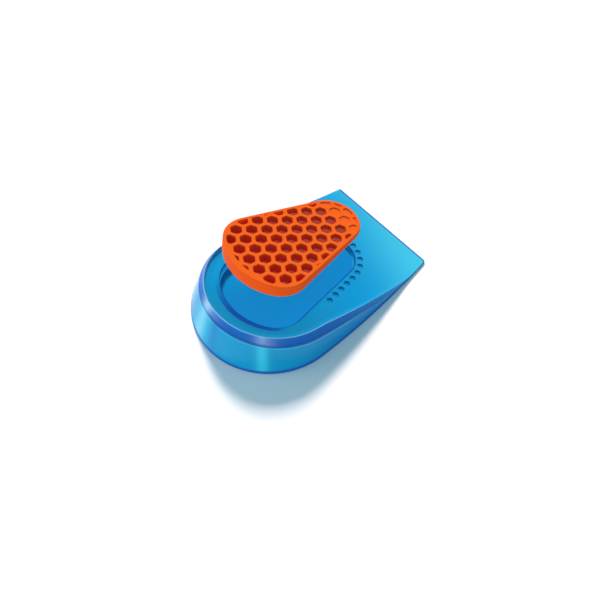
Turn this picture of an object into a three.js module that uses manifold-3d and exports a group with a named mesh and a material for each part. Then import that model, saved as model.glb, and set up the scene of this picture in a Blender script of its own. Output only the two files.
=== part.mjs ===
// A gel heel cup with a lift-out honeycomb insert, as a three.js scene graph.
// Units are millimetres. +Z is up, +Y points to the toe and X runs across the foot.
// The origin is on the ground, under the middle of the cup's outline.

import * as THREE from "three";
import { mergeVertices } from "three/addons/utils/BufferGeometryUtils.js";
import Module from "manifold-3d";

const wasm = await Module();
wasm.setup();

// Cup outline on the ground
const cupLength = 103.3; // heel to toe edge
const cupWidth = 70.9; // across the heel, which is a half circle
const toeWidth = 58.5; // the straight toe edge

// Cup outer wall, rim and floor
const toeEdge = 0.85; // thickness of the toe edge
const toeMargin = 13.6; // the stretch behind the toe edge that stays this thin
const shoulderHeight = 17.6; // top of the outer wall at the back of the heel
const wallLean = 0.365; // inward lean of the outer wall for each unit of height
const rimRise = 3.5; // ridge above the shoulder, round the heel
const rimSlopeWidth = 2.4; // sloping band from the shoulder in to the ridge
const rimDrop = 2.1; // ridge above the floor, round the heel
const rimWallWidth = 0.6; // steep inner side of the rim
const coveWidth = 2.2; // soft foot of the rim's inner side
const coveShare = 0.25; // share of the rim's drop that lies in the cove
const rimFullTo = 42.0; // the rim keeps its full height this far from the heel's back
const rimEndGap = 8.0; // the rim has faded out this far from the toe edge

// Honeycomb insert
const insertLength = 62.3;
const insertHeelWidth = 40.7; // over the two heel corners
const insertCornerRadius = 12.3;
const insertHeelBulge = 2.95; // the heel arc stands out this far past the corners
const insertToeRadius = 12.6;
const insertHeelThickness = 5.7;
const insertToeThickness = 1.55;
const insertDraft = 0.25; // the underside is this much bigger all round than the top

// Honeycomb cells
const cellPitch = 6.2; // between cell centres
const cellWall = 1.3; // between two cells
const cellSideBorder = 1.5; // plain border beside the cells
const cellHeelBorder = 2.6; // plain border behind the cells
const cellFloor = 0.8; // under the deep cells
const shallowDepth = 0.6; // of the cells in the thin toe end
const firstRowFromHeel = 1.3; // centre of the first row from the insert's heel
const shallowRows = 2; // rows at the toe end that stay shallow
const sliver = 0.25; // a clipped cell under this many square millimetres is left solid

// Recess for the insert
const heelMargin = 15.4; // from the back of the cup to the back of the recess
const recessHeelDepth = 4.65; // below the floor at the back of the recess
const gelUnderToe = 1.2; // left under the toe end of the recess
const recessClearance = 0.5; // round the insert
const recessToeRoom = 1.8; // extra length at the toe end, to lift the insert out
const liftShown = 23.9; // the insert is shown raised this far out of its recess

// Row of small dimples round the toe half of the recess
const dimpleRadius = 0.85;
const dimpleDepth = 0.7;
const dimpleOffset = 3.5; // from the recess edge
const dimpleToeRoom = 1.1; // extra length at the toe end of the row
const dimpleSpacing = 4.4;
const dimplesEachSide = 10; // on each side of the middle

// Facets
const sideSteps = 12;
const heelSteps = 20;
const insertArcSteps = 10;
const dimpleSides = 8;
const beyond = 30.0; // how far a cutting tool reaches past what it cuts

const heelRadius = cupWidth / 2;
const heelEnd = -cupLength / 2;
const toeEnd = cupLength / 2;
const heelCentre = heelEnd + heelRadius;
const tiny = 1e-6;

// Radius of the arc that leaves the heel's half circle straight ahead and meets the toe corner.
function sideRadius() {
  const run = toeEnd - heelCentre;
  const taper = heelRadius - toeWidth / 2;
  return (run * run + taper * taper) / (2 * taper);
}

// Right half of the cup's outline from the toe corner to the back of the heel.
// Each station has its place and the direction in which the outline faces.
function cupStations() {
  const radius = sideRadius();
  const centreX = heelRadius - radius;
  const toeAngle = Math.asin((toeEnd - heelCentre) / radius);
  const stations = [];
  for (let i = 0; i < sideSteps; i++) {
    const angle = toeAngle * (1 - i / sideSteps);
    const normal = new THREE.Vector2(Math.cos(angle), Math.sin(angle));
    const place = new THREE.Vector2(centreX, heelCentre).addScaledVector(normal, radius);
    stations.push({ place, normal });
  }
  for (let i = 0; i <= heelSteps; i++) {
    const angle = (-Math.PI / 2) * (i / heelSteps);
    const normal = new THREE.Vector2(Math.cos(angle), Math.sin(angle));
    const place = new THREE.Vector2(0, heelCentre).addScaledVector(normal, heelRadius);
    stations.push({ place, normal });
  }
  stations[0].normal.y = 1;
  stations[heelSteps + sideSteps].place.x = 0;
  return stations;
}

// Top of the outer wall at a place along the cup.
function shoulderAt(y) {
  const start = toeEnd - toeMargin;
  const t = THREE.MathUtils.clamp((start - y) / (start - heelEnd), 0, 1);
  return THREE.MathUtils.lerp(toeEdge, shoulderHeight, t);
}

// Share of the rim's full height at a place along the cup.
function rimShare(y) {
  const full = heelEnd + rimFullTo;
  const end = toeEnd - rimEndGap;
  return THREE.MathUtils.clamp((end - y) / (end - full), 0, 1);
}

// Height of the floor that the foot lies on.
function floorAt(y) {
  return shoulderAt(y) + (rimRise - rimDrop) * rimShare(y);
}

// One level of the cup's wall: how far in from the outline, and how high, at each station.
function cupRing(stations, insetAt, heightAt) {
  return stations.map(({ place, normal }) => {
    const lean = insetAt(place.y);
    const x = place.x < tiny ? 0 : place.x - normal.x * lean;
    const y = place.y - normal.y * lean;
    return new THREE.Vector3(x, y, heightAt(y));
  });
}

// Closes half rings, each running from the toe to the heel on the +X side, into a mirrored solid.
// The rings go from the underside up and in; ones that meet share their points.
function mirroredSolid(rings) {
  const points = [];
  const found = new Map();
  const corners = [];
  const last = rings[0].length - 1;

  function index(ring, i, side) {
    const p = rings[ring][i];
    const x = Math.abs(p.x) < tiny ? 0 : side * p.x;
    const key = [x, p.y, p.z].map((value) => value.toFixed(5)).join(" ");
    if (!found.has(key)) {
      found.set(key, points.length / 3);
      points.push(x, p.y, p.z);
    }
    return found.get(key);
  }
  function triangle(a, b, c) {
    if (a !== b && b !== c && c !== a) {
      corners.push(a, b, c);
    }
  }
  function quad(a, b, c, d) {
    triangle(a, b, c);
    triangle(a, c, d);
  }

  for (let ring = 0; ring + 1 < rings.length; ring++) {
    const up = ring + 1;
    for (let i = 0; i < last; i++) {
      quad(index(ring, i + 1, 1), index(ring, i, 1), index(up, i, 1), index(up, i + 1, 1));
      quad(index(ring, i, -1), index(ring, i + 1, -1), index(up, i + 1, -1), index(up, i, -1));
    }
    quad(index(ring, 0, 1), index(ring, 0, -1), index(up, 0, -1), index(up, 0, 1));
  }
  const top = rings.length - 1;
  for (let i = 0; i < last; i++) {
    quad(index(0, i, 1), index(0, i + 1, 1), index(0, i + 1, -1), index(0, i, -1));
    quad(index(top, i, -1), index(top, i + 1, -1), index(top, i + 1, 1), index(top, i, 1));
  }
  const geometry = new THREE.BufferGeometry();
  geometry.setAttribute("position", new THREE.Float32BufferAttribute(points, 3));
  geometry.setIndex(corners);
  return geometry;
}

// A closed geometry, moved by a matrix if one is given, as a solid for cutting.
function solidFrom(geometry, matrix = new THREE.Matrix4()) {
  const bare = geometry.clone().applyMatrix4(matrix);
  bare.deleteAttribute("normal");
  bare.deleteAttribute("uv");
  const merged = mergeVertices(bare, 1e-5);
  const mesh = new wasm.Mesh({
    numProp: 3,
    vertProperties: new Float32Array(merged.attributes.position.array),
    triVerts: new Uint32Array(merged.index.array),
  });
  return new wasm.Manifold(mesh);
}

// A cut solid as a geometry with flat faces.
function geometryFrom(solid) {
  const mesh = solid.getMesh();
  const geometry = new THREE.BufferGeometry();
  geometry.setAttribute("position", new THREE.Float32BufferAttribute(mesh.vertProperties, 3));
  geometry.setIndex(new THREE.Uint32BufferAttribute(mesh.triVerts, 1));
  const flat = geometry.toNonIndexed();
  flat.computeVertexNormals();
  return flat;
}

// Right half of the insert's outline from its toe to its heel, grown all round.
// Y is measured from the insert's own heel; toeRoom lengthens the toe end.
function insertHalf(grow, toeRoom = 0, heelBorder = -grow) {
  const cornerX = insertHeelWidth / 2 - insertCornerRadius;
  const cornerY = insertHeelBulge + insertCornerRadius;
  const cornerR = insertCornerRadius + grow;
  const toeR = insertToeRadius + grow;
  const toeY = insertLength - insertToeRadius + toeRoom;

  // The heel arc passes the middle of the heel and runs into the corner arcs.
  const depth = cornerY - heelBorder;
  const heelR = (cornerX * cornerX + depth * depth - cornerR * cornerR) / (2 * (depth - cornerR));
  const heelY = heelBorder + heelR;
  const heelAngle = Math.atan2(cornerY - heelY, cornerX);

  // The straight side touches the toe arc and the corner arc.
  const span = Math.hypot(cornerX, toeY - cornerY);
  const sideAngle = Math.atan2(toeY - cornerY, -cornerX) - Math.acos((cornerR - toeR) / span);

  const arc = (x, y, radius, from, to, steps, skipFirst) => {
    const points = [];
    for (let i = skipFirst ? 1 : 0; i <= steps; i++) {
      const angle = from + ((to - from) * i) / steps;
      points.push(new THREE.Vector2(x + radius * Math.cos(angle), y + radius * Math.sin(angle)));
    }
    return points;
  };
  const half = [
    ...arc(0, toeY, toeR, Math.PI / 2, sideAngle, insertArcSteps, false),
    ...arc(cornerX, cornerY, cornerR, sideAngle, heelAngle, insertArcSteps, false),
    ...arc(0, heelY, heelR, heelAngle, -Math.PI / 2, insertArcSteps, true),
  ];
  half[0].x = 0;
  half[half.length - 1].x = 0;
  return half;
}

// Thickness of the insert at a place measured from its heel.
function insertThickness(y) {
  return THREE.MathUtils.lerp(insertHeelThickness, insertToeThickness, y / insertLength);
}

// A straight-sided tool with the insert's outline.
function insertTool(half, low, high) {
  const at = (z) => half.map((p) => new THREE.Vector3(p.x, p.y, z));
  return solidFrom(mirroredSolid([at(low), at(high)]));
}

// Where the recess floor starts at the heel and how it slopes down to the toe.
function recessPlane() {
  const heelY = heelEnd + heelMargin + insertDraft + recessClearance;
  const heelZ = floorAt(heelY) - recessHeelDepth;
  const angle = Math.asin((heelZ - gelUnderToe) / (insertLength + recessToeRoom));
  return { heelY, heelZ, angle };
}

// A group whose XY plane is the recess floor, with Y from the insert's heel to its toe.
function recessGroup() {
  const { heelY, heelZ, angle } = recessPlane();
  const group = new THREE.Group();
  group.position.set(0, heelY, heelZ);
  group.rotation.x = -angle;
  group.updateMatrixWorld(true);
  return group;
}

// Dimple centres, evenly spaced round the toe half of the recess, in the recess group's plane.
function dimpleCentres() {
  const path = insertHalf(recessClearance + insertDraft + dimpleOffset, dimpleToeRoom);
  const centres = [];
  let left = dimpleSpacing / 2;
  for (let i = 0; i + 1 < path.length && centres.length < dimplesEachSide; i++) {
    const step = path[i + 1].clone().sub(path[i]);
    const length = step.length();
    let along = left;
    while (along <= length && centres.length < dimplesEachSide) {
      centres.push(path[i].clone().addScaledVector(step, along / length));
      along += dimpleSpacing;
    }
    left = along - length;
  }
  const mirrored = centres.map((p) => new THREE.Vector2(-p.x, p.y));
  return [...centres, ...mirrored];
}

// The solid cup with its rim and floor, before the recess is cut.
function cupBlank() {
  const stations = cupStations();
  const lean = (y) => wallLean * shoulderAt(y);
  const ridgeIn = (y) => lean(y) + rimSlopeWidth * rimShare(y);
  const footIn = (y) => ridgeIn(y) + rimWallWidth * rimShare(y);
  const coveIn = (y) => footIn(y) + coveWidth * rimShare(y);
  const ridge = (y) => shoulderAt(y) + rimRise * rimShare(y);
  const foot = (y) => floorAt(y) + rimDrop * coveShare * rimShare(y);
  return solidFrom(
    mirroredSolid([
      cupRing(stations, () => 0, () => 0),
      cupRing(stations, lean, shoulderAt),
      cupRing(stations, ridgeIn, ridge),
      cupRing(stations, footIn, foot),
      cupRing(stations, coveIn, floorAt),
    ]),
  );
}

// The cup: one moulded piece of gel, with the recess and the dimples cut in.
function gelCup(recess) {
  let solid = cupBlank();
  const edge = insertHalf(insertDraft + recessClearance, recessToeRoom);
  const at = (z) => edge.map((p) => new THREE.Vector3(p.x, p.y, z));
  solid = solid.subtract(solidFrom(mirroredSolid([at(0), at(beyond)]), recess.matrixWorld));
  const pin = new THREE.CylinderGeometry(dimpleRadius, dimpleRadius, 2 * dimpleDepth, dimpleSides);
  pin.rotateX(Math.PI / 2);
  for (const centre of dimpleCentres()) {
    const place = new THREE.Vector3(centre.x, centre.y, 0).applyMatrix4(recess.matrixWorld);
    const matrix = new THREE.Matrix4().makeTranslation(place.x, place.y, floorAt(place.y));
    solid = solid.subtract(solidFrom(pin, matrix));
  }
  return geometryFrom(solid);
}

// Centres of the cells, row by row across the insert, from its heel.
function cellCentres() {
  const rowStep = (cellPitch * Math.sqrt(3)) / 2;
  const rows = Math.floor((insertLength - firstRowFromHeel) / rowStep) + 1;
  const across = Math.ceil(insertHeelWidth / 2 / cellPitch);
  const centres = [];
  for (let row = 0; row < rows; row++) {
    const y = firstRowFromHeel + row * rowStep;
    const shift = row % 2 === 0 ? 0.5 : 0;
    const shallow = row >= rows - shallowRows;
    for (let column = -across - 1; column <= across; column++) {
      centres.push({ x: (column + shift) * cellPitch, y, shallow });
    }
  }
  return centres;
}

// The insert: a wedge with blind six-sided cells, clipped where they meet its border.
function honeycombInsert() {
  const top = insertHalf(0);
  const under = insertHalf(insertDraft);
  let solid = solidFrom(
    mirroredSolid([
      under.map((p) => new THREE.Vector3(p.x, p.y, 0)),
      top.map((p) => new THREE.Vector3(p.x, p.y, insertThickness(p.y))),
    ]),
  );
  const field = insertTool(insertHalf(-cellSideBorder, 0, cellHeelBorder), 0, beyond);
  const cellRadius = (cellPitch - cellWall) / Math.sqrt(3);
  const cutter = new THREE.CylinderGeometry(cellRadius, cellRadius, beyond, 6);
  cutter.rotateX(Math.PI / 2);
  cutter.translate(0, 0, beyond / 2);
  for (const { x, y, shallow } of cellCentres()) {
    const depthEnd = shallow ? insertThickness(y) - shallowDepth : cellFloor;
    const matrix = new THREE.Matrix4().makeTranslation(x, y, depthEnd);
    const cell = solidFrom(cutter, matrix).intersect(field);
    if (cell.volume() > sliver * (beyond - depthEnd)) {
      solid = solid.subtract(cell);
    }
  }
  return geometryFrom(solid);
}

const gel = new THREE.MeshStandardMaterial({ color: 0x1daae0, roughness: 0.12, metalness: 0 });
const elastomer = new THREE.MeshStandardMaterial({ color: 0xf16c2b, roughness: 0.45, metalness: 0 });

const heelCup = new THREE.Group();
const recess = recessGroup();

const cup = new THREE.Mesh(gelCup(recess), gel);
cup.name = "gel_cup";
heelCup.add(cup);

const insert = new THREE.Mesh(honeycombInsert(), elastomer);
insert.name = "honeycomb_insert";
insert.position.z = liftShown;
recess.add(insert);
heelCup.add(recess);

export default heelCup;
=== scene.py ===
"""A blue gel heel cup with its orange honeycomb insert raised out of the recess.

Units are metres. +Z is up, +Y points to the toe edge and X runs across the foot.
"""

import math

import bmesh
import bpy
import numpy as np
from bpy.props import FloatProperty, FloatVectorProperty, IntProperty, PointerProperty
from mathutils import Matrix, Vector
from mathutils.geometry import delaunay_2d_cdt


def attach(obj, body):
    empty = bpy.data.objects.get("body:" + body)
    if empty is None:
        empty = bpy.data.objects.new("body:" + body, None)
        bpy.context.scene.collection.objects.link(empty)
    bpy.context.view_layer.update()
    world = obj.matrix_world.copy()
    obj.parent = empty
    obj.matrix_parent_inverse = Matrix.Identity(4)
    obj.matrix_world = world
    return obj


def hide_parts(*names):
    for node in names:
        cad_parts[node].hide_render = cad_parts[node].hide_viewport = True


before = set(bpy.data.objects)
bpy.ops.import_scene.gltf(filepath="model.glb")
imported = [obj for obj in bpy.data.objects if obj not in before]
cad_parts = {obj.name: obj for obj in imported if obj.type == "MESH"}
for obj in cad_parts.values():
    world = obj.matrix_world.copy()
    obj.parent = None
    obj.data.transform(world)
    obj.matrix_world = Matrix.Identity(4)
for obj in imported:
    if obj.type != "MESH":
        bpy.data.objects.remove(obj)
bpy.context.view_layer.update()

bl_info = {
    "name": "Heel cup",
    "version": (1, 0, 0),
    "blender": (4, 5, 0),
    "location": "View3D > Sidebar > Heel cup",
    "description": "Builds a gel heel cup, its honeycomb insert and a plain studio",
    "category": "Add Mesh",
}

MM = 0.001
CORNER_STEPS = 6

# Directions, seen from above, towards which a dimple and the recess get their painted
# shade.
DIMPLE_SHADED = np.array([0.63, 0.77])
RECESS_SHADED = np.array([0.5, -0.866])

# Where the lights point, and the name, place and size of each low light, in metres.
LIGHT_AIM = (0.0, 0.0, 0.01)
FILLS = (
    ("left_fill", (-0.4, -0.55, 0.1), (0.4, 0.16)),
    ("near_fill", (0.5, -0.5, 0.1), (0.3, 0.16)),
)


def length(name, millimetres, description):
    """A length setting, given in millimetres and kept in metres."""
    return FloatProperty(
        name=name,
        description=description,
        default=millimetres * MM,
        precision=5,
        unit="LENGTH",
    )


def share(name, default, description, top=1.0):
    """A plain number between zero and a top value."""
    return FloatProperty(
        name=name, description=description, default=default, min=0.0, max=top
    )


def colour(name, default, description):
    """A linear colour setting."""
    return FloatVectorProperty(
        name=name,
        description=description,
        default=default,
        subtype="COLOR",
        size=3,
        min=0.0,
        max=1.0,
    )


def angle(name, degrees, description):
    """An angle setting, given in degrees and kept in radians."""
    return FloatProperty(
        name=name, description=description, default=math.radians(degrees), subtype="ANGLE"
    )


def spot(name, default, description):
    """A place in the scene, in metres."""
    return FloatVectorProperty(
        name=name,
        description=description,
        default=default,
        subtype="TRANSLATION",
        unit="LENGTH",
        precision=5,
    )


class CupSizes(bpy.types.PropertyGroup):
    """Sizes of the gel cup"""

    cup_length: length("Length", 103.3, "Heel to toe edge")
    cup_width: length("Width", 70.9, "Across the heel, which is a half circle")
    toe_width: length("Toe width", 58.5, "Length of the straight toe edge")
    toe_corner: length("Toe corner", 1.1, "Radius of the two toe corners")
    toe_edge: length("Toe edge", 0.85, "Thickness of the toe edge")
    toe_margin: length("Toe margin", 13.6, "Stretch behind the toe edge that stays thin")
    toe_ease: share("Toe ease", 0.05, "How softly the thin toe runs into the wedge")
    shoulder_height: length("Shoulder", 17.6, "Top of the outer wall at the heel")
    wall_lean: share("Wall lean", 0.365, "Inward lean for each unit of height")
    rim_rise: length("Rim rise", 3.5, "Ridge above the shoulder")
    rim_slope_width: length("Rim slope", 2.4, "Sloping band from the shoulder to the ridge")
    rim_drop: length("Rim drop", 2.1, "Ridge above the floor")
    rim_wall_width: length("Rim wall", 0.6, "Steep inner side of the rim")
    cove_width: length("Cove width", 2.2, "Soft foot of the rim's inner side")
    cove_share: share("Cove share", 0.25, "Share of the rim's drop that is in the cove")
    rim_full_to: length("Rim full to", 42.0, "Full rim this far from the heel")
    rim_end_gap: length("Rim end gap", 8.0, "The rim ends this far from the toe edge")
    rim_least: share("Rim least", 0.03, "Share of the rim that is left at the toe edge")
    base_round: length("Base edge", 0.9, "Rounding of the edge on the ground")
    shoulder_round: length("Shoulder rounding", 0.8, "Rounding of the shoulder")
    ridge_round: length("Ridge rounding", 0.45, "Rounding of the ridge")
    cove_round: length("Cove rounding", 0.9, "Rounding of the cove")
    recess_round: length("Recess rounding", 0.5, "Rounding of the recess's edge and foot")
    heel_margin: length("Heel margin", 15.4, "Back of the cup to the back of the recess")
    recess_heel_depth: length("Recess depth", 4.65, "Below the floor at the recess's back")
    gel_under_toe: length("Gel under toe", 1.2, "Left under the recess's toe end")
    recess_clearance: length("Clearance", 0.5, "Room round the insert")
    recess_toe_room: length("Toe room", 1.8, "Extra length of the recess's toe end")
    lift_shown: length("Lift", 23.9, "How far the insert is raised out of its recess")
    dimple_radius: length("Dimple radius", 1.35, "Radius of a dimple at the floor")
    dimple_depth: length("Dimple depth", 0.65, "Depth of a dimple")
    dimple_offset: length("Dimple offset", 3.5, "From the recess edge to the row")
    dimple_toe_room: length("Row toe room", 1.1, "Extra length of the row's toe end")
    dimple_spacing: length("Dimple spacing", 4.4, "Between dimples along the row")
    dimples_each_side: IntProperty(
        name="Dimples", description="Dimples on each side of the middle", default=10
    )
    spacing: length("Mesh spacing", 0.32, "Between neighbouring points of the outline")


class InsertSizes(bpy.types.PropertyGroup):
    """Sizes of the honeycomb insert"""

    insert_length: length("Length", 62.3, "Heel to toe of the insert")
    heel_width: length("Heel width", 40.7, "Over the two heel corners")
    corner_radius: length("Corner radius", 12.3, "Heel corners seen from above")
    heel_bulge: length("Heel bulge", 2.95, "The heel arc stands out past the corners")
    toe_radius: length("Toe radius", 12.6, "Toe end seen from above")
    heel_thickness: length("Heel thickness", 5.7, "Thickness at the heel")
    toe_thickness: length("Toe thickness", 1.55, "Thickness at the toe")
    draft: length("Draft", 0.25, "The underside is this much bigger all round")
    edge_round: length("Edge rounding", 0.6, "Rounding of the outer edges")
    cell_pitch: length("Cell pitch", 6.2, "Between cell centres")
    cell_wall: length("Cell wall", 1.3, "Between two cells")
    cell_side_border: length("Side border", 1.2, "Plain border beside the cells")
    cell_heel_border: length("Heel border", 2.4, "Plain border behind the cells")
    cell_floor: length("Cell floor", 0.8, "Under the deep cells")
    cell_round: length("Cell rounding", 0.22, "Rounding of a cell's mouth")
    shallow_depth: length("Shallow depth", 0.6, "Depth of the cells in the toe end")
    first_row: length("First row", 1.3, "Centre of the first row from the heel")
    shallow_rows: IntProperty(
        name="Shallow rows", description="Rows at the toe end that stay shallow", default=2
    )
    least_cell: FloatProperty(
        name="Least cell",
        description="Area of the smallest clipped cell that is kept",
        default=1.2 * MM * MM,
        precision=8,
        unit="AREA",
    )
    cell_points: IntProperty(
        name="Cell points", description="Points round one cell", default=48
    )
    spacing: length("Mesh spacing", 0.4, "Between neighbouring points of the outline")


class Looks(bpy.types.PropertyGroup):
    """Colours and finish of the two materials"""

    gel_thin: colour("Gel, thin", (0.08, 0.74, 1.0), "Gel near the thin toe edge")
    gel_thick: colour("Gel, thick", (0.006, 0.40, 0.80), "Gel where it is thick")
    gel_deep: colour("Gel, deep", (0.007, 0.29, 0.56), "Gel on the shaded side of the heel")
    # Painted shade: the gel in the recess is darker.
    gel_recess_shade: colour("Gel, recess", (0.006, 0.32, 0.77), "Gel in the recess")
    gel_wall: colour("Gel, wall", (0.002, 0.375, 0.68), "Gel of the outer wall")
    # Painted shade: the wall is darker along the flanks and beside the wide highlight.
    gel_flank_shade: colour("Gel, flank", (0.002, 0.28, 0.66), "Gel of the wall along the sides")
    # Painted shade: the band under the ridge is darker, standing in for dark reflections.
    gel_band_shade: colour("Gel, band", (0.012, 0.19, 0.66), "Gel of the band under the ridge")
    # Painted highlight in the wall's streaks, along the top of the wall and on the recess's
    # steep side.
    gel_highlight: colour("Gel, streak", (0.06, 0.76, 1.0), "Light gathered in the wall")
    # Painted highlight: glints in the band, the streak's pale core and a pale line along
    # the ridge.
    gel_pale_highlight: colour("Gel, pale", (0.42, 0.72, 0.96), "Light gathered in the band")
    # Painted shade along the edge on the ground and along the toe edge.
    gel_edge_shade: colour("Gel, edge", (0.012, 0.11, 0.50), "Gel along the edge on the ground")
    # Painted shade in the dimples, round the recess's edge and in dark lines on the band.
    gel_line_shade: colour("Gel, line", (0.006, 0.09, 0.42), "Gel at steep inner edges")
    gel_clear: share("Clear part", 0.35, "Share of light that passes through the gel")
    gel_shine: share("Gel shine", 0.08, "Strength of the gel's reflections")
    streak_left: angle("Left streak", -102, "Direction of the wide streak round the heel")
    streak_left_width: angle("Left streak width", 9, "Half the width of the wide streak")
    streak_near: angle("Near streak", -44, "Direction of the narrow streak round the heel")
    streak_near_width: angle("Near streak width", 4.5, "Half the width of the narrow one")
    streak_gap: angle("Streak gap", 17, "From the wide streak to the dark gel beside it")
    # Painted glow on the left side of the recess.
    gel_painted_glow: share("Recess glow", 0.45, "Light that comes through into the recess's side")
    wave_scale: share("Wave scale", 90.0, "Waves of the gel's skin in each metre", 5000.0)
    gel_roughness: share("Gel roughness", 0.12, "Roughness of the gel's skin")
    band_roughness: share("Band roughness", 0.2, "Added roughness of the band")
    gel_index: share("Refraction", 1.40, "How strongly the gel bends light", 2.0)
    orange: colour("Orange", (0.75, 0.11, 0.012), "Elastomer of the insert")
    # Painted shade: the outer side is a darker, deeper orange than the top.
    orange_side_shade: colour("Side orange", (0.67, 0.072, 0.007), "Elastomer of the outer side")
    # Painted shade inside the cells, deeper down.
    orange_cell_shade: colour("Deep orange", (0.62, 0.072, 0.042), "Elastomer inside a cell")
    # Painted shade on the floors of the deep cells.
    orange_cell_floor_shade: colour("Floor orange", (0.31, 0.044, 0.032), "Floors of the cells")
    orange_roughness: share("Elastomer roughness", 0.42, "Roughness of the elastomer")
    orange_shine: share("Elastomer shine", 0.02, "Strength of the elastomer's reflections")
    grain_scale: share("Grain scale", 2600.0, "Fine grain of the elastomer", 5000.0)
    patch_scale: share("Patch scale", 120.0, "Smoother patches of the elastomer", 5000.0)


class StageSizes(bpy.types.PropertyGroup):
    """Camera, floor and lights"""

    lens: FloatProperty(
        name="Lens", description="Focal length on a 36 mm sensor", default=34.34
    )
    camera_place: spot(
        "Camera place", (0.1108, -0.09136, 0.21545), "Where the camera stands"
    )
    camera_aim: spot(
        "Camera aim", (0.01258, -0.00984, 0.01), "What the middle of the picture shows"
    )
    camera_roll: angle("Camera roll", -0.4, "Turn about the line of sight")
    floor_colour: colour("Floor", (0.90, 0.90, 0.90), "The plain floor")
    floor_size: length("Floor size", 800.0, "Side of the floor")
    sky_colour: colour("Sky colour", (0.36, 0.79, 1.0), "Tint of the even light")
    sky_strength: share("Sky", 0.45, "Strength of the even light all round", 10.0)
    key_colour: colour("Key colour", (1.0, 0.84, 0.79), "Tint of the large light")
    key_place: spot("Key place", (-5.35, 3.29, 4.55), "Where the large light stands")
    key_size: length("Key size", 1500.0, "Side of the large light")
    key_power: share("Key light", 970.0, "Power of the large light, in watts", 5000.0)
    fill_power: share("Fill lights", 2.4, "Power of each low light, in watts", 100.0)


class HeelCupSettings(bpy.types.PropertyGroup):
    """All settings of the heel cup"""

    cup: PointerProperty(type=CupSizes)
    insert: PointerProperty(type=InsertSizes)
    looks: PointerProperty(type=Looks)
    stage: PointerProperty(type=StageSizes)


class Wire:
    """A node's output that can be used in ordinary sums."""

    def __init__(self, tree, socket):
        self.tree = tree
        self.socket = socket

    def node(self, kind, settings=None, sockets=None, output=0):
        """Adds a node, sets its settings and then its sockets, and gives an output."""
        made = self.tree.nodes.new(kind)
        for name, value in (settings or {}).items():
            setattr(made, name, value)
        for name, value in (sockets or {}).items():
            if isinstance(value, Wire):
                self.tree.links.new(value.socket, made.inputs[name])
            else:
                made.inputs[name].default_value = value
        return Wire(self.tree, made.outputs[output])

    def math(self, operation, *terms):
        """One Math node."""
        settings = {"operation": operation}
        return self.node("ShaderNodeMath", settings, dict(enumerate(terms)))

    def __add__(self, other):
        return self.math("ADD", self, other)

    def __radd__(self, other):
        return self.math("ADD", other, self)

    def __sub__(self, other):
        return self.math("SUBTRACT", self, other)

    def __rsub__(self, other):
        return self.math("SUBTRACT", other, self)

    def __mul__(self, other):
        return self.math("MULTIPLY", self, other)

    def __rmul__(self, other):
        return self.math("MULTIPLY", other, self)

    def __truediv__(self, other):
        return self.math("DIVIDE", self, other)

    def __rtruediv__(self, other):
        return self.math("DIVIDE", other, self)

    def step(self, start, end):
        """Zero at the start, one at the end and smooth between."""
        settings = {"interpolation_type": "SMOOTHSTEP"}
        sockets = {"Value": self, "From Min": start, "From Max": end}
        return self.node("ShaderNodeMapRange", settings, sockets)

    def blend(self, low, high):
        """A colour between two others, with this value as the share of the second."""
        settings = {"data_type": "RGBA", "clamp_factor": True}
        sockets = {0: self, 6: low, 7: high}
        return self.node("ShaderNodeMix", settings, sockets, output=2)

    def part(self, axis):
        """One part of a vector."""
        return self.node("ShaderNodeSeparateXYZ", {}, {0: self}, output="XYZ".index(axis))

    def shade(self, name):
        """A named shade of the mesh."""
        return self.node("ShaderNodeAttribute", {"attribute_name": name}, {}, output=2)


def unit_rows(rows):
    """Rows scaled to length one, with very short ones left near zero."""
    size = np.linalg.norm(rows, axis=1, keepdims=True)
    return rows / np.maximum(size, 1e-9)


def distance_along(path):
    """How far each point of a path is from its start."""
    steps = np.linalg.norm(np.diff(path, axis=0), axis=1)
    return np.concatenate([[0], np.cumsum(steps)])


def arc(centre, radius, start, end, spacing):
    """Points on an arc and the directions they face, without the arc's last point."""
    count = max(3, math.ceil(abs(end - start) * abs(radius) / spacing))
    angles = start + (end - start) * np.arange(count) / count
    facing = np.column_stack([np.cos(angles), np.sin(angles)])
    return np.asarray(centre) + radius * facing, facing


def mirrored(points, facing):
    """A right half, from the toe to the heel, closed into a full loop by its mirror."""
    flip = np.array([-1.0, 1.0])
    return (
        np.vstack([points, (points[1:-1] * flip)[::-1]]),
        np.vstack([facing, (facing[1:-1] * flip)[::-1]]),
    )


def cup_outline(s):
    """The cup's outline on the ground, all the way round, with its outward directions."""
    radius = s.cup_width / 2
    toe = s.cup_length / 2
    heel_centre = radius - s.cup_length / 2
    run = toe - heel_centre
    taper = radius - s.toe_width / 2
    side = (run * run + taper * taper) / (2 * taper)
    side_x = radius - side
    corner_y = toe - s.toe_corner
    inner = side - s.toe_corner
    corner_x = side_x + math.sqrt(inner**2 - (corner_y - heel_centre) ** 2)
    touch = math.atan2(corner_y - heel_centre, corner_x - side_x)

    count = max(2, math.ceil(corner_x / s.spacing))
    straight = np.column_stack(
        [corner_x * np.arange(count) / count, np.full(count, toe)]
    )
    ahead = np.tile([0.0, 1.0], (count, 1))
    fine = s.spacing / 3
    corner = arc((corner_x, corner_y), s.toe_corner, math.pi / 2, touch, fine)
    flank = arc((side_x, heel_centre), side, touch, 0, s.spacing)
    heel = arc((0, heel_centre), radius, 0, -math.pi / 2, s.spacing)
    points = np.vstack([straight, corner[0], flank[0], heel[0], [(0, -toe)]])
    facing = np.vstack([ahead, corner[1], flank[1], heel[1], [(0, -1)]])
    return mirrored(points, facing)


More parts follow.
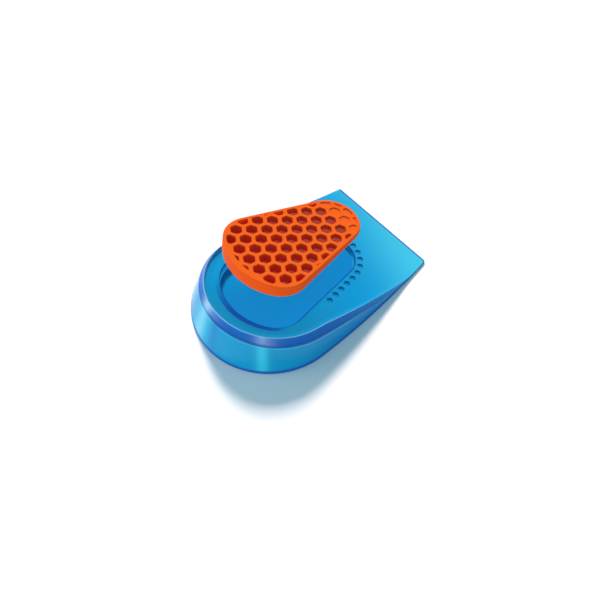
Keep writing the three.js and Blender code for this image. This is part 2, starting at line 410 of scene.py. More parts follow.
def insert_outline(s, grow, toe_room, heel_border, spacing):
    """The insert's outline grown all round, and its outward directions."""
    corner_x = s.heel_width / 2 - s.corner_radius
    corner_y = s.heel_bulge + s.corner_radius
    corner_r = s.corner_radius + grow
    toe_r = s.toe_radius + grow
    toe_y = s.insert_length - s.toe_radius + toe_room
    depth = corner_y - heel_border
    heel_r = (corner_x**2 + depth**2 - corner_r**2) / (2 * (depth - corner_r))
    heel_y = heel_border + heel_r
    heel_angle = math.atan2(corner_y - heel_y, corner_x)
    span = math.hypot(corner_x, toe_y - corner_y)
    turn = math.atan2(toe_y - corner_y, -corner_x)
    side_angle = turn - math.acos((corner_r - toe_r) / span)

    toe = arc((0, toe_y), toe_r, math.pi / 2, side_angle, spacing)
    facing = np.array([math.cos(side_angle), math.sin(side_angle)])
    start = np.array([0, toe_y]) + toe_r * facing
    end = np.array([corner_x, corner_y]) + corner_r * facing
    count = max(2, math.ceil(np.linalg.norm(end - start) / spacing))
    along = np.arange(count)[:, None] / count
    corner = arc((corner_x, corner_y), corner_r, side_angle, heel_angle, spacing)
    heel = arc((0, heel_y), heel_r, heel_angle, -math.pi / 2, spacing)
    points = np.vstack(
        [toe[0], start + (end - start) * along, corner[0], heel[0], [(0, heel_border)]]
    )
    normals = np.vstack(
        [toe[1], np.tile(facing, (count, 1)), corner[1], heel[1], [(0, -1)]]
    )
    return mirrored(points, normals)


def shoulder_at(s, y):
    """Top of the outer wall at a place along the cup."""
    start = s.cup_length / 2 - s.toe_margin
    t = (start - y) / (start + s.cup_length / 2)
    soft = (t + np.sqrt(t * t + s.toe_ease**2)) / 2
    return s.toe_edge + (s.shoulder_height - s.toe_edge) * soft


def rim_share(s, y):
    """Share of the rim's full height at a place along the cup."""
    full = s.rim_full_to - s.cup_length / 2
    end = s.cup_length / 2 - s.rim_end_gap
    return np.clip((end - y) / (end - full), s.rim_least, 1)


def floor_at(s, y):
    """Height of the floor that the foot lies on."""
    return shoulder_at(s, y) + (s.rim_rise - s.rim_drop) * rim_share(s, y)


def thickness_at(s, y):
    """Thickness of the insert at a place measured from its heel."""
    return s.heel_thickness + (s.toe_thickness - s.heel_thickness) * y / s.insert_length


class RecessPlane:
    """The sloping plane of the recess floor, with Y from the insert's heel to its toe."""

    def __init__(self, cup, insert):
        self.y = cup.heel_margin - cup.cup_length / 2 + insert.draft + cup.recess_clearance
        self.z = float(floor_at(cup, self.y)) - cup.recess_heel_depth
        drop = self.z - cup.gel_under_toe
        self.slope = math.asin(drop / (insert.insert_length + cup.recess_toe_room))

    def place(self, flat, height=0.0):
        """Points of the plane, raised square to it, in the cup's own frame."""
        x, y = flat[:, 0], flat[:, 1]
        c, s = math.cos(self.slope), math.sin(self.slope)
        return np.column_stack(
            [x, self.y + y * c + height * s, self.z - y * s + height * c]
        )

    def matrix(self, lift):
        """The plane's frame, raised by a lift."""
        turn = Matrix.Rotation(-self.slope, 4, "X")
        base = Matrix.Translation((0, self.y, self.z))
        return base @ turn @ Matrix.Translation((0, 0, lift))


def rounded(rings, radii, steps, shades):
    """Rings with the corner at each inner ring rounded and held by a ring on both sides.

    Each stretch between two rings has a shade, and each ring that comes out gets its own.
    """
    result = [rings[0]]
    tones = [np.array(shades[0], float)]
    for index in range(1, len(rings) - 1):
        before, here, after = rings[index - 1 : index + 2]
        room = np.minimum(
            np.linalg.norm(before - here, axis=1), np.linalg.norm(after - here, axis=1)
        )
        reach = np.minimum(radii[index], 0.4 * room)[:, None]
        back = unit_rows(before - here)
        ahead = unit_rows(after - here)
        low, high = np.array(shades[index - 1], float), np.array(shades[index], float)
        result.append(here + back * reach * 1.12)
        tones.append(low)
        for t in np.linspace(0, 1, steps):
            start = here + back * reach
            end = here + ahead * reach
            result.append((1 - t) ** 2 * start + 2 * t * (1 - t) * here + t**2 * end)
            tones.append(low + (high - low) * t)
        result.append(here + ahead * reach * 1.12)
        tones.append(high)
    result.append(rings[-1])
    tones.append(np.array(shades[-1], float))
    return result, tones


def mesh_from_rings(name, rings, shades):
    """A closed mesh from loops of equally many points, capped flat at both ends.

    The shades are named lists with one row of values for each loop.
    """
    count = len(rings[0])
    points = np.vstack(rings)
    faces = []
    for ring in range(len(rings) - 1):
        low, high = ring * count, (ring + 1) * count
        for i in range(count):
            j = (i + 1) % count
            faces.append((low + i, low + j, high + j, high + i))
    faces.append(tuple(reversed(range(count))))
    last = (len(rings) - 1) * count
    faces.append(tuple(range(last, last + count)))
    flat = {key: np.concatenate(rows) for key, rows in shades.items()}
    return finished_mesh(name, points, faces, flat)


def finished_mesh(name, points, faces, shades):
    """A smooth mesh object whose faces look outward, with named shades on its points."""
    mesh = bpy.data.meshes.new(name)
    mesh.from_pydata(np.asarray(points).tolist(), [], faces)
    for key, values in shades.items():
        layer = mesh.attributes.new(key, "FLOAT", "POINT")
        layer.data.foreach_set("value", np.asarray(values, np.float32))
    shape = bmesh.new()
    shape.from_mesh(mesh)
    bmesh.ops.remove_doubles(shape, verts=shape.verts, dist=1e-7)
    bmesh.ops.recalc_face_normals(shape, faces=shape.faces)
    open_edges = [edge for edge in shape.edges if len(edge.link_faces) != 2]
    shape.to_mesh(mesh)
    shape.free()
    if open_edges:
        raise RuntimeError(f"{name} has {len(open_edges)} edges without two faces")
    mesh.polygons.foreach_set("use_smooth", [True] * len(mesh.polygons))
    made = bpy.data.objects.new(name, mesh)
    bpy.context.scene.collection.objects.link(made)
    return made


def dimple_centres(cup, insert, plane):
    """Plan places of the dimples, evenly spaced round the toe half of the recess."""
    grow = insert.draft + cup.recess_clearance + cup.dimple_offset
    path, _ = insert_outline(insert, grow, cup.dimple_toe_room, -grow, 0.1 * MM)
    half = path[: len(path) // 2]
    along = distance_along(half)
    wanted = cup.dimple_spacing * (np.arange(cup.dimples_each_side) + 0.5)
    x = np.interp(wanted, along, half[:, 0])
    y = np.interp(wanted, along, half[:, 1])
    flat = np.column_stack([np.concatenate([x, -x]), np.concatenate([y, y])])
    return plane.place(flat)[:, :2]


def wall_rings(s, points, facing):
    """Control rings of the cup from under its base up over the rim to the floor."""
    y = points[:, 1]
    lean = s.wall_lean * shoulder_at(s, y)
    ridge_in = lean + s.rim_slope_width * rim_share(s, y)
    foot_in = ridge_in + s.rim_wall_width * rim_share(s, y)
    cove_in = foot_in + s.cove_width * rim_share(s, y)
    foot_rise = s.rim_drop * s.cove_share

    def ring(inset, height):
        flat = points - facing * np.reshape(inset, (-1, 1))
        return np.column_stack([flat, height(flat[:, 1])])

    def flat_at(height):
        return lambda y: np.full_like(y, height)

    return [
        ring(np.full_like(y, 4 * MM), flat_at(0.0)),
        ring(np.zeros_like(y), flat_at(0.0)),
        ring(lean, lambda y: shoulder_at(s, y)),
        ring(ridge_in, lambda y: shoulder_at(s, y) + s.rim_rise * rim_share(s, y)),
        ring(foot_in, lambda y: floor_at(s, y) + foot_rise * rim_share(s, y)),
        ring(cove_in, lambda y: floor_at(s, y)),
    ]


def recess_edge(cup, insert, plane, spacing):
    """Dense rings of the recess: its edge on the floor, its foot and one inside that."""
    grow = insert.draft + cup.recess_clearance
    flat, facing = insert_outline(insert, grow, cup.recess_toe_room, -grow, spacing)
    height = np.full(len(flat), cup.recess_heel_depth)
    for _ in range(6):
        top = plane.place(flat, height)
        height = height + (floor_at(cup, top[:, 1]) - top[:, 2]) / math.cos(plane.slope)
    inside = flat - facing * 2.5 * MM
    return plane.place(flat, height), plane.place(flat), plane.place(inside)


def floor_plans(border, edge):
    """Plan loops of the floor, from beside the recess's edge out to the foot of the rim."""
    near = np.concatenate([[0.9, 1.6], np.arange(2.1, 5.0, 0.24), [5.4]]) * MM
    reach = border[:, :2] - edge[:, :2]
    gap = np.linalg.norm(reach, axis=1)
    shrink = np.minimum(1.0, 0.85 * gap / near[-1])[:, None]
    away = unit_rows(reach)
    plans = [edge[:, :2] + away * shrink * d for d in near]
    last = plans[-1]
    for t in (0.2, 0.45, 0.75):
        plans.append(last + (border[:, :2] - last) * t)
    return plans


def dimpled(cup, plan, centres):
    """One loop of the floor with its dimples, and how much painted shade the gel gets in
    them.
    """
    gaps = np.linalg.norm(plan[:, None, :] - centres[None, :, :], axis=2)
    far = np.min(gaps, axis=1)
    t = np.clip((1.2 * cup.dimple_radius - far) / (0.6 * cup.dimple_radius), 0, 1)
    dent = t * t * (3 - 2 * t)
    off = plan - centres[np.argmin(gaps, axis=1)]
    turn = (unit_rows(off) @ DIMPLE_SHADED) * 0.8 + 0.55
    dark = 4 * dent * (1 - dent) * np.clip(turn, 0, 1) + 0.35 * dent
    height = floor_at(cup, plan[:, 1]) - cup.dimple_depth * dent
    return np.column_stack([plan, height]), dark


def on_rings(rings, places, shares):
    """A share for each ring, given at some of them and even between those."""
    return np.interp(np.arange(len(rings)), places, shares)


def build_cup(cup, insert):
    """The gel cup as one closed mesh."""
    plane = RecessPlane(cup, insert)
    points, facing = cup_outline(cup)
    outer = wall_rings(cup, points, facing)
    edge, foot, inside = recess_edge(cup, insert, plane, 0.03 * MM)
    border = outer[-1]
    nearest = np.array(
        [np.argmin(np.sum((edge[:, :2] - p) ** 2, axis=1)) for p in border[:, :2]]
    )
    edge, foot, inside = edge[nearest], foot[nearest], inside[nearest]

    centres = dimple_centres(cup, insert, plane)
    floor = []
    dimple_shades = []
    for plan in reversed(floor_plans(border, edge)):
        ring, dark = dimpled(cup, plan, centres)
        floor.append(ring)
        dimple_shades.append(dark)

    round_up = [0, cup.base_round, cup.shoulder_round, cup.ridge_round, cup.cove_round]
    round_up += [cup.cove_round, 0]
    # Each shade is (outer wall, band, recess); the band and recess ones carry painted
    # shade. A rounded corner comes out as eight rings.
    none, wall, band, low = (0, 0, 0), (1, 0, 0), (0, 1, 0), (0, 0, 1)
    up_shades = [none, wall, band, none, none, none]
    over, over_tones = rounded(outer + [floor[0]], round_up, CORNER_STEPS, up_shades)
    round_down = [0, cup.recess_round, cup.recess_round, 0]
    down, down_tones = rounded(
        [floor[-1], edge, foot, inside], round_down, CORNER_STEPS, [none, low, low]
    )
    rings = over[:-1] + floor[:-1] + down
    tones = over_tones[:-1] + [np.zeros(3)] * (len(floor) - 1) + down_tones

    # Painted lines run along the shoulder, the ridge and the recess's edge: painted shade,
    # and a painted highlight on the ridge. The painted shade round the recess widens round
    # its heel, where the steep side would show through the gel.
    shoulder = on_rings(over, [9, 10, 14, 17], [0, 1, 1, 0])
    ridge = on_rings(over, [17, 20, 23, 26], [0, 1, 1, 0])
    wide_line = on_rings(down, [0, 1, 8, 9, 16], [0, 1, 1, 0.2, 0])
    thin_line = on_rings(down, [0, 1, 5, 7], [0, 1, 1, 0])
    steep = on_rings(down, [8, 9, 12, 14], [0, 1, 1, 0])
    outward = unit_rows((edge - inside)[:, :2])
    heelward = np.clip(1.3 * outward @ RECESS_SHADED - 0.2, 0, 1)
    heelward = heelward * np.clip(-3 * outward[:, 1], 0, 1)
    near_edge = [0.6 * heelward] + [heelward] * 6
    recess = [
        thin + (wide - thin) * heelward for thin, wide in zip(thin_line, wide_line)
    ]
    recess[0] = heelward

    fade = rim_share(cup, points[:, 1])
    even = np.ones(len(points))
    blank = np.zeros(len(points))
    upward, across, downward = len(over) - 1, len(floor) - 1, len(down)
    inner = [blank] * (across + downward)
    plain_floor = [blank] * (across - len(near_edge))
    # Besides the outer wall's mask, these shades place painted shade in the band, the
    # recess, the dimples and the dark lines, and painted light on the recess's steep side
    # and along the ridge.
    shades = {
        "wall": [tone[0] * even for tone in tones],
        "band": [tone[1] * fade**1.5 for tone in tones],
        "recess": [tone[2] * even for tone in tones],
        "dimple": [blank] * upward + dimple_shades[:-1] + [blank] * downward,
        "steep": [blank] * (upward + across) + [value * even for value in steep],
        "shoulder_line": [value * fade for value in shoulder[:-1]] + inner,
        "ridge_line": [value * fade for value in ridge[:-1]] + inner,
        "recess_line": [blank] * upward + plain_floor + near_edge + recess,
    }
    return mesh_from_rings("gel_cup_look", rings, shades)


def clipped(polygon, window):
    """A convex polygon cut to a convex window that runs anticlockwise."""
    points = [tuple(p) for p in polygon]
    for i in range(len(window)):
        ax, ay = window[i]
        bx, by = window[(i + 1) % len(window)]

        def side(p):
            return (bx - ax) * (p[1] - ay) - (by - ay) * (p[0] - ax)

        kept = []
        for j, p in enumerate(points):
            q = points[(j + 1) % len(points)]
            here, there = side(p), side(q)
            if here >= 0:
                kept.append(p)
            if (here >= 0) != (there >= 0):
                t = here / (here - there)
                kept.append((p[0] + t * (q[0] - p[0]), p[1] + t * (q[1] - p[1])))
        points = kept
        if len(points) < 3:
            return np.zeros((0, 2))
    return np.array(points)


def even_loop(polygon, count):
    """A closed polygon as evenly spaced points with slightly rounded corners."""
    closed = np.vstack([polygon, polygon[:1]])
    along = distance_along(closed)
    wanted = along[-1] * np.arange(count) / count
    loop = np.column_stack([np.interp(wanted, along, closed[:, k]) for k in (0, 1)])
    for _ in range(2):
        loop = 0.5 * loop + 0.25 * (np.roll(loop, 1, axis=0) + np.roll(loop, -1, axis=0))
    return loop


def polygon_area(polygon):
    """Area of a polygon that runs anticlockwise."""
    x, y = polygon[:, 0], polygon[:, 1]
    return 0.5 * float(np.sum(x * np.roll(y, -1) - np.roll(x, -1) * y))


def cell_loops(s):
    """Mouth outlines of all cells, each with whether it is shallow."""
    window, _ = insert_outline(s, -s.cell_side_border, 0.0, s.cell_heel_border, 1.2 * MM)
    window = window[::-1]
    row_step = s.cell_pitch * math.sqrt(3) / 2
    rows = int((s.insert_length - s.first_row) // row_step) + 1
    across = math.ceil(s.heel_width / 2 / s.cell_pitch)
    radius = (s.cell_pitch - s.cell_wall + 0.6 * s.cell_round) / math.sqrt(3)
    turns = math.pi / 2 + np.arange(6) * math.pi / 3
    hexagon = radius * np.column_stack([np.cos(turns), np.sin(turns)])
    cells = []
    for row in range(rows):
        y = s.first_row + row * row_step
        shift = 0.5 if row % 2 == 0 else 0.0
        for column in range(-across - 1, across + 1):
            centre = np.array([(column + shift) * s.cell_pitch, y])
            polygon = clipped(hexagon + centre, window)
            if len(polygon) < 3 or polygon_area(polygon) < s.least_cell:
                continue
            cells.append((even_loop(polygon, s.cell_points), row >= rows - s.shallow_rows))
    return cells


def cell_rings(s, loop, shallow):
    """Rings of one cell from its mouth down to its floor."""
    middle = loop.mean(axis=0)
    around = np.sum(np.linalg.norm(loop - np.roll(loop, 1, axis=0), axis=1))
    inradius = 2 * abs(polygon_area(loop)) / around
    soft = min(s.cell_round, 0.35 * inradius)

    def ring(inset, height):
        flat = middle + (loop - middle) * (1 - inset / inradius)
        return np.column_stack([flat, height(flat[:, 1])])

    def below(drop):
        return lambda y: thickness_at(s, y) - drop

    def floor(rise):
        if shallow:
            return lambda y: thickness_at(s, y) - s.shallow_depth + rise
        return lambda y: np.full_like(y, s.cell_floor + rise)

    rings = [ring(0.0, below(0.0)), ring(0.1 * soft, below(0.0))]
    for turn in np.linspace(0, math.pi / 2, 5)[1:]:
        inset = 0.1 * soft + soft * math.sin(turn)
        rings.append(ring(inset, below(soft * (1 - math.cos(turn)))))
    draft = (0.02 if shallow else 0.12) * MM
    wall = 1.1 * soft + min(draft, 0.1 * inradius)
    heel = min(0.25 * MM, 0.3 * inradius)
    for turn in np.linspace(0, math.pi / 2, 5):
        inset = wall + heel * (1 - math.cos(turn))
        rings.append(ring(inset, floor(heel * (1 - math.sin(turn)))))
    rings.append(ring(wall + 1.2 * heel, floor(0.0)))
    return rings


def top_triangles(outline, loops):
    """Triangles between the outline and the cell mouths, as indices of all their points."""
    points = [Vector(p) for p in (np.vstack([outline, *loops]) / MM).tolist()]
    edges = []
    start = 0
    for loop in [outline, *loops]:
        count = len(loop)
        edges += [(start + i, start + (i + 1) % count) for i in range(count)]
        start += count
    border = [list(range(len(outline)))[::-1]]
    flat, _, faces, sources, _, _ = delaunay_2d_cdt(points, edges, border, 1, 1e-6)
    if len(flat) != len(points):
        raise RuntimeError("the top of the insert has crossing outlines")
    source = [origin[0] for origin in sources]
    owner = np.concatenate(
        [np.full(len(loop), k) for k, loop in enumerate([outline, *loops])]
    )
    kept = []
    for face in faces:
        corners = [source[i] for i in face]
        owners = {int(owner[i]) for i in corners}
        if len(owners) == 1 and owners != {0}:
            continue
        kept.append(tuple(corners))
    return kept


def build_insert(cup, s):
    """The honeycomb insert as one closed mesh, in the frame of the recess plane."""
    under, facing = insert_outline(s, s.draft, 0.0, -s.draft, s.spacing)
    top = under - facing * s.draft
    edge = s.edge_round
    flat = np.zeros(len(under))
    inner = top - facing * 1.3 * edge
    shell, tones = rounded(
        [
            np.column_stack([under - facing * 3 * edge, flat]),
            np.column_stack([under, flat]),
            np.column_stack([top, thickness_at(s, top[:, 1])]),
            np.column_stack([inner, thickness_at(s, inner[:, 1])]),
        ],
        [0, 0.8 * edge, edge, 0],
        CORNER_STEPS,
        [(0,), (1,), (0,)],
    )
    cells = cell_loops(s)
    mouths = [cell_rings(s, loop, shallow) for loop, shallow in cells]

    points = []
    faces = []
    depths = []
    sides = []
    floors = []

    def add_rings(rings, deep):
        """Adds connected loops and gives the first index of each."""
        starts = []
        for ring in rings:
            starts.append(len(points))
            points.extend(ring.tolist())
            drop = thickness_at(s, ring[:, 1]) - ring[:, 2]
            depths.extend((drop * deep / s.heel_thickness).tolist())
            sides.extend([0.0] * len(ring))
            at_floor = ring[:, 2] < s.cell_floor + 0.1 * MM
            floors.extend((at_floor * deep).tolist())
        count = len(rings[0])
        for low, high in zip(starts, starts[1:]):
            for i in range(count):
                j = (i + 1) % count
                faces.append((low + i, low + j, high + j, high + i))
        return starts

    starts = add_rings(shell, 0.0)
    sides = np.repeat([tone[0] for tone in tones], len(under)).tolist()
    faces.append(tuple(range(starts[0], starts[0] + len(under))))
    indices = [starts[-1] + i for i in range(len(under))]
    for rings in mouths:
        cell = add_rings(rings, 1.0)
        faces.append(tuple(range(cell[-1], cell[-1] + len(rings[-1]))))
        indices += [cell[0] + i for i in range(len(rings[0]))]
    for corners in top_triangles(shell[-1][:, :2], [rings[0][:, :2] for rings in mouths]):
        faces.append(tuple(indices[i] for i in corners))

    # These shades place the elastomer's painted shade: in the cells, on their floors and on
    # the outer side.
    shades = {"depth": depths, "side": sides, "cell_floor": floors}
    made = finished_mesh("honeycomb_insert_look", points, faces, shades)
    plane = RecessPlane(cup, s)
    made.data.transform(plane.matrix(cup.lift_shown))
    return made


def new_material(name):
    """An empty material, its tree and its output node."""
    made = bpy.data.materials.new(name)
    made.use_nodes = True
    tree = made.node_tree
    tree.nodes.clear()
    output = tree.nodes.new("ShaderNodeOutputMaterial")
    return made, tree, output


def plain(values):
    """A colour setting as red, green, blue and one."""
    return (*values, 1.0)


def streak(turn, place, width):
    """One near a direction round the heel, falling softly to zero away from it."""
    away = (turn - place) / width
    return away.math("EXPONENT", 0.0 - away * away)


def floor_tint(start, looks, cup, x, y):
    """Colour of the gel's upper side, with painted shade on the shaded side of the heel, in
    the recess, in the dimples and along the toe edge, and painted light on the recess's
    steep side.
    """
    dark, light = plain(looks.gel_line_shade), plain(looks.gel_highlight)
    thin = (y + 0.35 * x).step(0.1 * cup.cup_length, 0.6 * cup.cup_length)
    left = (0.0 - x).step(0.1 * cup.cup_width, 0.5 * cup.cup_width)
    share_thin = thin * thin + 0.1 * left
    tint = share_thin.blend(plain(looks.gel_thick), plain(looks.gel_thin))
    shaded = (x - y).step(0.1 * cup.cup_length, 0.55 * cup.cup_length)
    tint = shaded.blend(tint, plain(looks.gel_deep))
    # Painted shade: the recess is darker, less so towards the left.
    inner = start.shade("recess") * (0.3 + 0.7 * x.step(-0.28 * cup.cup_width, 0.0))
    tint = inner.blend(tint, plain(looks.gel_recess_shade))
    # Painted light on the recess's steep side, then painted shade in the dimples and round
    # the recess's edge.
    tint = (start.shade("steep") * 0.7).blend(tint, light)
    tint = (start.shade("dimple") * 0.8).blend(tint, dark)
    tint = (start.shade("recess_line") * 0.95).blend(tint, dark)
    # Painted shade along the toe edge.
    toe = 0.5 * cup.cup_length
    end = y.step(toe - 1.3 * MM, toe - 0.6 * MM)
    return end.blend(tint, plain(looks.gel_edge_shade))


def wall_tint(start, looks, cup, place, tint):
    """The upper side's colour, joined by the colours of the wall and of the band over it.

    Painted highlights stand in two upright streaks in the wall round the heel, in a line
    that runs along the top of the wall and in glints on the band. Painted shade darkens the
    flanks, a strip beside the wide streak, the band, lines along the shoulder and the
    ridge, and the edge on the ground.
    """
    x, y, z = place
    dark, light, pale = (
        plain(colours) for colours in (looks.gel_line_shade, looks.gel_highlight, looks.gel_pale_highlight)
    )
    heel_y = cup.cup_width / 2 - cup.cup_length / 2
    turn = x.math("ARCTAN2", y - heel_y, x)
    wide = streak(turn, looks.streak_left, looks.streak_left_width)
    core = streak(turn, looks.streak_left, looks.streak_near_width)
    glint = streak(turn, looks.streak_left, 0.8 * looks.streak_left_width)
    narrow = streak(turn, looks.streak_near, looks.streak_near_width)
    gap = streak(turn, looks.streak_left + looks.streak_gap, looks.streak_near_width)
    far = (0.0 - x).step(0.3 * cup.cup_width, 0.44 * cup.cup_width)

    wall = start.shade("wall")
    # Painted shade: the wall darkens along the flanks.
    flank = y.step(-0.38 * cup.cup_length, 0.05 * cup.cup_length)
    side = wall.blend(tint, flank.blend(plain(looks.gel_wall), plain(looks.gel_flank_shade)))
    # Painted highlights: two upright streaks with a pale core.
    side = (wall * (0.9 * wide + 0.75 * narrow)).blend(side, light)
    side = (wall * core * 0.5).blend(side, pale)
    # Painted highlight along the top of the wall.
    below = wall_top(cup, y) - z
    glow = (1.0 - below.step(0.8 * MM, 1.9 * MM)) * z.step(4.0 * MM, 8.0 * MM)
    side = (wall * glow * 0.55).blend(side, light)
    # Painted shade beside the wide streak.
    side = (wall * gap * 0.7).blend(side, plain(looks.gel_flank_shade))

    # Painted shade in the band, darker on the far side, with painted glints.
    band = start.shade("band")
    side = band.blend(side, plain(looks.gel_band_shade))
    side = (band * far * 0.8).blend(side, dark)
    side = (band * (0.9 * glint + 0.4 * narrow)).blend(side, pale)
    # Painted shade along the shoulder, and a painted highlight along the ridge that turns
    # to painted shade on the far side.
    side = (start.shade("shoulder_line") * (0.85 - 0.6 * glint)).blend(side, dark)
    ridge = start.shade("ridge_line")
    side = (ridge * (0.85 - 0.85 * far)).blend(side, pale)
    side = (ridge * far * 0.6).blend(side, dark)
    # Painted shade along the edge on the ground.
    low = 1.0 - z.step(1.2 * MM, 2.4 * MM)
    return (wall * low).blend(side, plain(looks.gel_edge_shade))


def wall_top(cup, y):
    """Height of the shoulder for the shader, as shoulder_at gives it for the mesh."""
    toe = 0.5 * cup.cup_length
    start_y = toe - cup.toe_margin
    rise = (start_y - y) / (start_y + toe)
    root = rise.math("SQRT", rise * rise + cup.toe_ease**2)
    height = cup.shoulder_height - cup.toe_edge
    return cup.toe_edge + height * 0.5 * (rise + root)


def gel_material(looks, cup):
    """Clear blue gel, lighter where it is thin, with painted highlights, painted shade and
    a painted glow.
    """
    made, tree, output = new_material("gel")
    start = Wire(tree, None)
    place = start.node("ShaderNodeTexCoord", output="Object")
    x, y, z = (place.part(axis) for axis in "XYZ")
    tint = wall_tint(start, looks, cup, (x, y, z), floor_tint(start, looks, cup, x, y))

    # Painted glow: the left side of the recess gives off a faint light of its own, standing
    # in for light that comes through the gel.
    left = (0.0 - x).step(0.15 * cup.cup_width, 0.28 * cup.cup_width)
    lit = start.shade("steep") * left
    glow = lit.blend(plain((0.0, 0.0, 0.0)), plain(looks.gel_thick))

    # Small waves of the moulded skin.
    sockets = {"Vector": place, "Scale": looks.wave_scale, "Detail": 2.0}
    wave = start.node("ShaderNodeTexNoise", {}, sockets)
    sockets = {"Height": wave, "Strength": 0.12, "Distance": 0.3 * MM}
    skin = start.node("ShaderNodeBump", {}, sockets)
    rough = looks.gel_roughness + start.shade("band") * looks.band_roughness
    gel = start.node(
        "ShaderNodeBsdfPrincipled",
        {},
        {
            "Base Color": tint,
            "Normal": skin,
            "Roughness": rough + (wave - 0.5) * 0.08,
            "IOR": looks.gel_index,
            "Specular IOR Level": looks.gel_shine,
            "Transmission Weight": looks.gel_clear,
            "Emission Color": glow,
            "Emission Strength": looks.gel_painted_glow,
        },
    )
    tree.links.new(gel.socket, output.inputs["Surface"])
    return made


def elastomer_material(looks):
    """Satin orange elastomer, with painted shade on its outer side, inside its cells and on
    their floors.
    """
    made, tree, output = new_material("elastomer")
    start = Wire(tree, None)
    # Painted shade: darker inside the cells and on their floors, and a darker, deeper
    # orange on the outer side.
    deep = start.shade("depth").step(0.07, 0.3)
    tint = start.shade("side").blend(plain(looks.orange), plain(looks.orange_side_shade))

    # A fine satin grain, and patches that are rubbed a little smoother.
    place = start.node("ShaderNodeTexCoord", output="Object")
    sockets = {"Vector": place, "Scale": looks.grain_scale, "Detail": 2.0}
    grain = start.node("ShaderNodeTexNoise", {}, sockets)
    sockets = {"Vector": place, "Scale": looks.patch_scale, "Detail": 1.0}
    patch = start.node("ShaderNodeTexNoise", {}, sockets)
    sockets = {"Height": grain, "Strength": 0.15, "Distance": 0.05 * MM}
    skin = start.node("ShaderNodeBump", {}, sockets)
    rubber = start.node(
        "ShaderNodeBsdfPrincipled",
        {},
        {
            "Base Color": start.shade("cell_floor").blend(
                deep.blend(tint, plain(looks.orange_cell_shade)), plain(looks.orange_cell_floor_shade)
            ),
            "Normal": skin,
            "Roughness": looks.orange_roughness + (patch - 0.5) * 0.15,
            "IOR": 1.45,
            "Specular IOR Level": looks.orange_shine,
        },
    )
    tree.links.new(rubber.socket, output.inputs["Surface"])
    return made


def floor_material(stage):
    """The plain pale floor."""
    made, tree, output = new_material("floor")
    start = Wire(tree, None)
    matt = start.node(
        "ShaderNodeBsdfDiffuse", {}, {"Color": plain(stage.floor_colour)}
    )
    tree.links.new(matt.socket, output.inputs["Surface"])
    return made


def settings_of(context):
    """The heel cup's settings in this scene."""
    return context.scene.heel_cup


class HEELCUP_OT_gel_cup(bpy.types.Operator):
    """Build the gel cup around its frame"""

    bl_idname = "heel_cup.gel_cup"
    bl_label = "Gel cup"

    def execute(self, context):
        settings = settings_of(context)
        made = build_cup(settings.cup, settings.insert)
        made.data.materials.append(gel_material(settings.looks, settings.cup))
        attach(made, "cup")
        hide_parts("gel_cup")
        return {"FINISHED"}


class HEELCUP_OT_insert(bpy.types.Operator):
    """Build the honeycomb insert around its frame"""

    bl_idname = "heel_cup.insert"
    bl_label = "Honeycomb insert"

    def execute(self, context):
        settings = settings_of(context)
        made = build_insert(settings.cup, settings.insert)
        made.data.materials.append(elastomer_material(settings.looks))
        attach(made, "insert")
        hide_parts("honeycomb_insert")
        return {"FINISHED"}


def add_light(name, place, sides, power, tint=(1.0, 1.0, 1.0)):
    """One soft rectangular light, turned to the middle of the object."""
    data = bpy.data.lights.new(name, "AREA")
    data.shape = "RECTANGLE"
    data.size, data.size_y = sides
    data.energy = power
    data.color = tint
    made = bpy.data.objects.new(name, data)
    made.location = place
    made.rotation_mode = "QUATERNION"
    aim = Vector(LIGHT_AIM) - Vector(place)
    made.rotation_quaternion = aim.to_track_quat("-Z", "Y")
    bpy.context.scene.collection.objects.link(made)
    return made


def add_camera(stage):
    """The camera, at the photograph's angle."""
    data = bpy.data.cameras.new("camera")
    data.lens = stage.lens
    data.sensor_width = 36.0
    data.clip_start = 0.01
    data.clip_end = 20.0
    made = bpy.data.objects.new("camera", data)
    place, aim = Vector(stage.camera_place), Vector(stage.camera_aim)
    turn = (aim - place).to_track_quat("-Z", "Y").to_matrix().to_4x4()
    roll = Matrix.Rotation(stage.camera_roll, 4, "Z")
    made.matrix_world = Matrix.Translation(place) @ turn @ roll
    bpy.context.scene.collection.objects.link(made)
    bpy.context.scene.camera = made


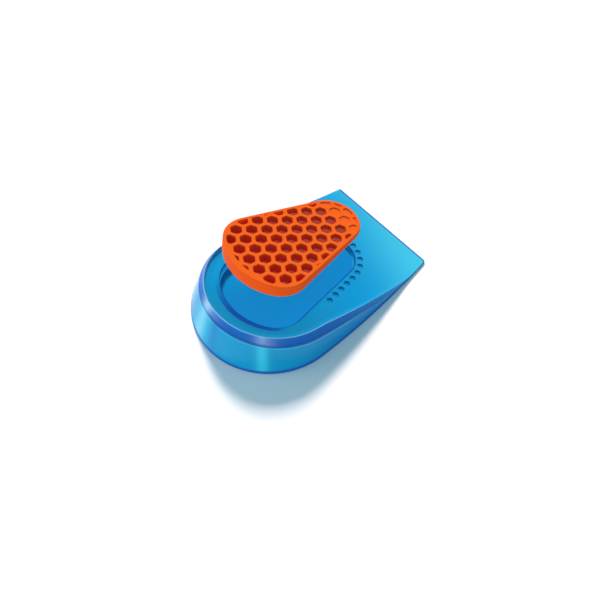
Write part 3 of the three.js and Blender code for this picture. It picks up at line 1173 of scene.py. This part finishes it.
class HEELCUP_OT_stage(bpy.types.Operator):
    """Build the floor, the soft light and the camera"""

    bl_idname = "heel_cup.stage"
    bl_label = "Stage"

    def execute(self, context):
        stage = settings_of(context).stage
        half = stage.floor_size / 2
        corners = [(-half, -half, 0), (half, -half, 0), (half, half, 0), (-half, half, 0)]
        mesh = bpy.data.meshes.new("floor")
        mesh.from_pydata(corners, [], [(0, 1, 2, 3)])
        floor = bpy.data.objects.new("floor", mesh)
        floor.location.z = -0.2 * MM
        bpy.context.scene.collection.objects.link(floor)
        mesh.materials.append(floor_material(stage))

        world = bpy.data.worlds.new("world")
        world.use_nodes = True
        # The sky lights the object and looks white behind it.
        start = Wire(world.node_tree, None)
        seen = start.node("ShaderNodeLightPath")
        back = world.node_tree.nodes["Background"]
        light = tuple(part * stage.sky_strength for part in stage.sky_colour)
        tint = seen.blend(plain(light), plain((1.0, 1.0, 1.0)))
        world.node_tree.links.new(tint.socket, back.inputs["Color"])
        back.inputs["Strength"].default_value = 1.0
        context.scene.world = world

        tint = tuple(stage.key_colour)
        sides = (stage.key_size, stage.key_size)
        key = add_light("key", stage.key_place, sides, stage.key_power, tint)
        key.visible_glossy = False
        key.visible_transmission = False
        for name, place, sides in FILLS:
            add_light(name, place, sides, stage.fill_power)

        # The raised insert throws no shadow of the key light on the cup and the floor.
        blockers = bpy.data.collections.new("key_blockers")
        blockers.objects.link(context.scene.objects["gel_cup_look"])
        key.light_linking.blocker_collection = blockers
        add_camera(stage)
        context.scene.view_settings.view_transform = "Standard"
        return {"FINISHED"}


class HEELCUP_PT_panel(bpy.types.Panel):
    """The heel cup's settings and buttons"""

    bl_idname = "HEELCUP_PT_panel"
    bl_label = "Heel cup"
    bl_space_type = "VIEW_3D"
    bl_region_type = "UI"
    bl_category = "Heel cup"

    def draw(self, context):
        settings = settings_of(context)
        groups = (
            ("Gel cup", settings.cup, HEELCUP_OT_gel_cup),
            ("Honeycomb insert", settings.insert, HEELCUP_OT_insert),
            ("Stage", settings.stage, HEELCUP_OT_stage),
            ("Colours and finish", settings.looks, None),
        )
        for title, group, operator in groups:
            box = self.layout.box()
            box.label(text=title)
            for name in group.__annotations__:
                box.prop(group, name)
            if operator:
                box.operator(operator.bl_idname)


CLASSES = (
    CupSizes,
    InsertSizes,
    Looks,
    StageSizes,
    HeelCupSettings,
    HEELCUP_OT_gel_cup,
    HEELCUP_OT_insert,
    HEELCUP_OT_stage,
    HEELCUP_PT_panel,
)


def register():
    for cls in CLASSES:
        bpy.utils.register_class(cls)
    bpy.types.Scene.heel_cup = PointerProperty(type=HeelCupSettings)


def unregister():
    del bpy.types.Scene.heel_cup
    for cls in reversed(CLASSES):
        bpy.utils.unregister_class(cls)


def main():
    register()
    bpy.ops.heel_cup.gel_cup()
    bpy.ops.heel_cup.insert()
    bpy.ops.heel_cup.stage()


if __name__ == "__main__":
    main()
